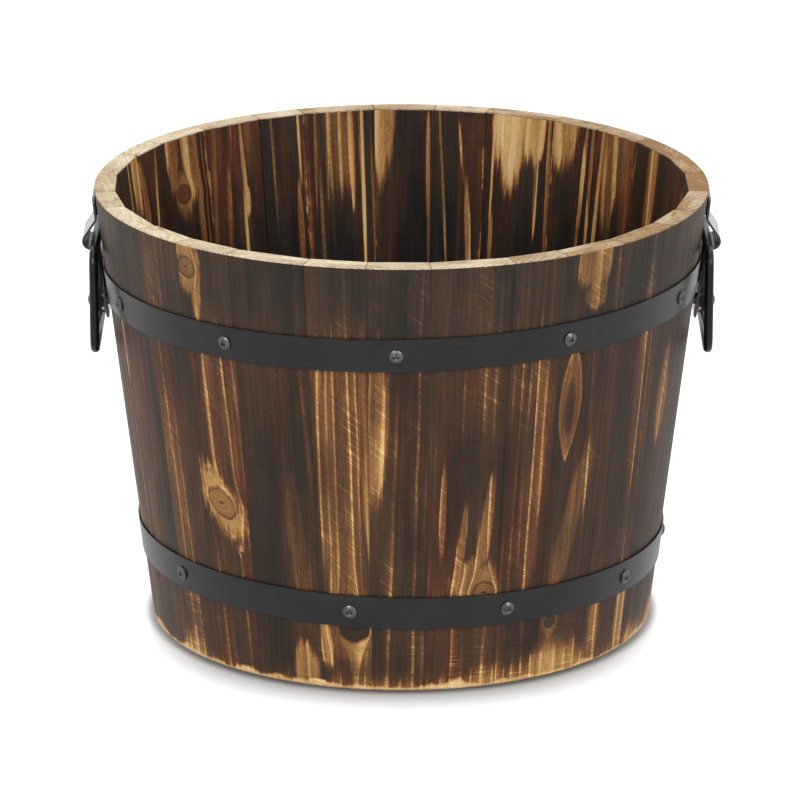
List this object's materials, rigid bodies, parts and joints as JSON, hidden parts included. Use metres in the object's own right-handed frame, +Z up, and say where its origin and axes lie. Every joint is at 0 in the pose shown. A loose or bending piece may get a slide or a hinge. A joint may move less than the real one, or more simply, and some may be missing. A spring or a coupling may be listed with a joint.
{
  "type": "wooden barrel planter",
  "caption": "Round tapered planter of upright wooden staves held by two flat steel hoops, with a hanging drop handle on each side and a drained board base.",
  "frame": {"origin": "on the ground, under the middle of the pot", "axes": "+Z up, -Y to the front of the picture, handles on -X and +X"},
  "size_m": [0.4152, 0.3998, 0.292],
  "materials": {
    "charred_fir": "charred, brushed and sealed, satin",
    "base_fir": "sawn, lightly charred",
    "hoop_steel": "satin black paint",
    "handle_steel": "semi-gloss black paint",
    "screw_steel": "black oxide",
    "zinc_steel": "zinc plated"
  },
  "bodies": {
    "pot": {"stave_01": "charred_fir", "stave_02": "charred_fir", "stave_03": "charred_fir", "stave_04": "charred_fir", "stave_05": "charred_fir", "stave_06": "charred_fir", "stave_07": "charred_fir", "stave_08": "charred_fir", "stave_09": "charred_fir", "stave_10": "charred_fir", "stave_11": "charred_fir", "stave_12": "charred_fir", "stave_13": "charred_fir", "stave_14": "charred_fir", "stave_15": "charred_fir", "stave_16": "charred_fir", "stave_17": "charred_fir", "stave_18": "charred_fir", "stave_19": "charred_fir", "stave_20": "charred_fir", "stave_21": "charred_fir", "stave_22": "charred_fir", "stave_23": "charred_fir", "stave_24": "charred_fir", "stave_25": "charred_fir", "stave_26": "charred_fir", "stave_27": "charred_fir", "stave_28": "charred_fir", "base_board_1": "base_fir", "base_board_2": "base_fir", "base_board_3": "base_fir", "base_board_4": "base_fir", "base_board_5": "base_fir", "batten_front": "base_fir", "batten_rear": "base_fir", "batten_nails": "zinc_steel", "upper_hoop": "hoop_steel", "lower_hoop": "hoop_steel", "hoop_rivets": "hoop_steel", "upper_hoop_screws": "screw_steel", "lower_hoop_screws": "screw_steel", "strap_screws": "screw_steel", "left_strap": "handle_steel", "right_strap": "handle_steel", "handle_washers": "handle_steel", "handle_cap_nuts": "handle_steel", "handle_bolts": "zinc_steel"},
    "left_bail": {"left_bail": "handle_steel"},
    "right_bail": {"right_bail": "handle_steel"}
  },
  "joints": [
    {"name": "left_bail_swing", "type": "hinge", "parent": "pot", "child": "left_bail", "pos_m": [-0.19892, 0, 0.25587], "axis": [0, 1, 0], "range_deg": [-6.5, 180]},
    {"name": "right_bail_swing", "type": "hinge", "parent": "pot", "child": "right_bail", "pos_m": [0.19892, 0, 0.25587], "axis": [0, -1, 0], "range_deg": [-6.5, 180]}
  ]
}
